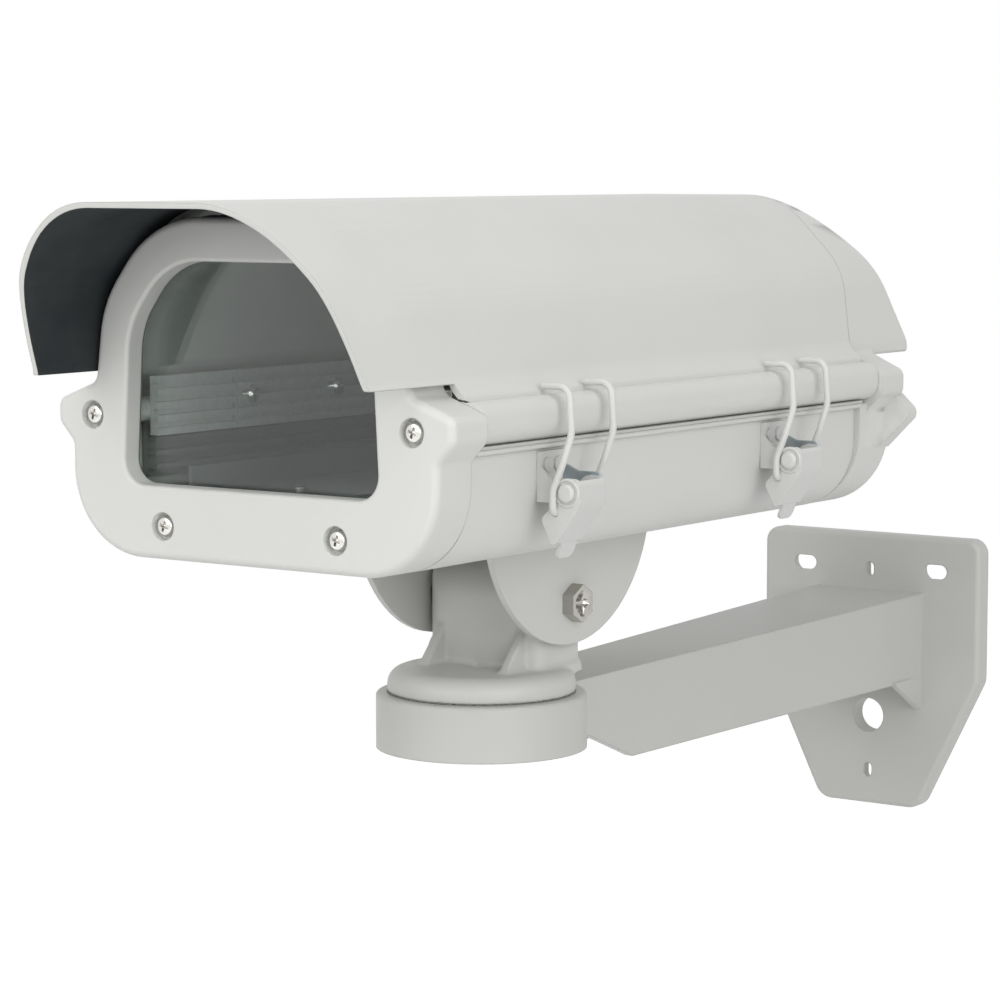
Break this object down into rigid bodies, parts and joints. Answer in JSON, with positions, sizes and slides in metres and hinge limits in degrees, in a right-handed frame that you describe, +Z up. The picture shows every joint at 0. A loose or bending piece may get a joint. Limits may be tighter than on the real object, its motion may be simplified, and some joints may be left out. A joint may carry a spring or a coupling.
{
  "type": "security camera housing",
  "caption": "Weatherproof camera housing with a sun hood, window, side-opening cover and two bail latches, on a panning, tilting wall arm.",
  "frame": {"origin": "centre of the wall plate's back face, level with the middle of its height", "axes": "+Y into the wall, +Z up, +X to the latch side; the window looks along -Y"},
  "size_m": [0.1986, 0.523, 0.2888],
  "materials": {
    "cast_paint": "powder coat",
    "sheet_paint": "powder coat",
    "latch_paint": "powder coat",
    "glass": "clear",
    "rubber": "matt",
    "zinc": "zinc plated",
    "plated_steel": "bright zinc",
    "aluminium": "mill finish",
    "plastic": "moulded"
  },
  "bodies": {
    "wall_bracket": {"wall_arm": "cast_paint"},
    "pan_head_body": {"pan_bolt": "plated_steel", "pan_head": "cast_paint", "pan_washer": "plated_steel", "tilt_friction_washers": "plastic"},
    "housing": {"bracket_nuts": "plated_steel", "bracket_screws": "plated_steel", "camera_tray": "aluminium", "clip_screws": "plated_steel", "front_cover": "cast_paint", "front_gasket": "rubber", "front_glass": "glass", "front_screws": "plated_steel", "gland_bodies": "plastic", "gland_caps": "plastic", "gland_locknuts": "plastic", "glass_clips": "plated_steel", "glass_gasket": "rubber", "hinge_rod": "plated_steel", "hinge_side_seal": "rubber", "hood_seal": "rubber", "latch_base_front": "zinc", "latch_base_rear": "zinc", "latch_pivot_front": "latch_paint", "latch_pivot_rear": "latch_paint", "latch_rivets": "plated_steel", "latch_side_seal": "rubber", "lower_shell": "cast_paint", "rail_hinge_side": "aluminium", "rail_latch_side": "aluminium", "rear_cover": "cast_paint", "rear_gasket": "rubber", "rear_screws": "plated_steel", "tilt_bolt": "plated_steel", "tilt_bracket": "sheet_paint", "tilt_nut": "plated_steel", "tilt_nut_washer": "plated_steel", "tray_screws": "plated_steel"},
    "cover": {"upper_shell": "cast_paint"},
    "lever_front": {"latch_lever_front": "latch_paint", "bail_front": "latch_paint"},
    "lever_rear": {"latch_lever_rear": "latch_paint", "bail_rear": "latch_paint"}
  },
  "joints": [
    {"name": "pan", "type": "hinge", "parent": "wall_bracket", "child": "pan_head_body", "pos_m": [0, -0.325, 0.032], "axis": [0, 0, 1], "range_deg": [-90, 90]},
    {"name": "tilt", "type": "hinge", "parent": "pan_head_body", "child": "housing", "pos_m": [0, -0.309, 0.0675], "axis": [1, 0, 0], "range_deg": [-15, 36]},
    {"name": "cover_hinge", "type": "hinge", "parent": "housing", "child": "cover", "pos_m": [-0.0935, -0.31, 0.1394], "axis": [0, -1, 0], "range_deg": [0, 100]},
    {"name": "latch_front", "type": "hinge", "parent": "housing", "child": "lever_front", "pos_m": [0.095, -0.399, 0.122], "axis": [0, -1, 0], "range_deg": [0, 95], "deforming": ["bail_front"]},
    {"name": "latch_rear", "type": "hinge", "parent": "housing", "child": "lever_rear", "pos_m": [0.095, -0.243, 0.122], "axis": [0, -1, 0], "range_deg": [0, 95], "deforming": ["bail_rear"]}
  ]
}
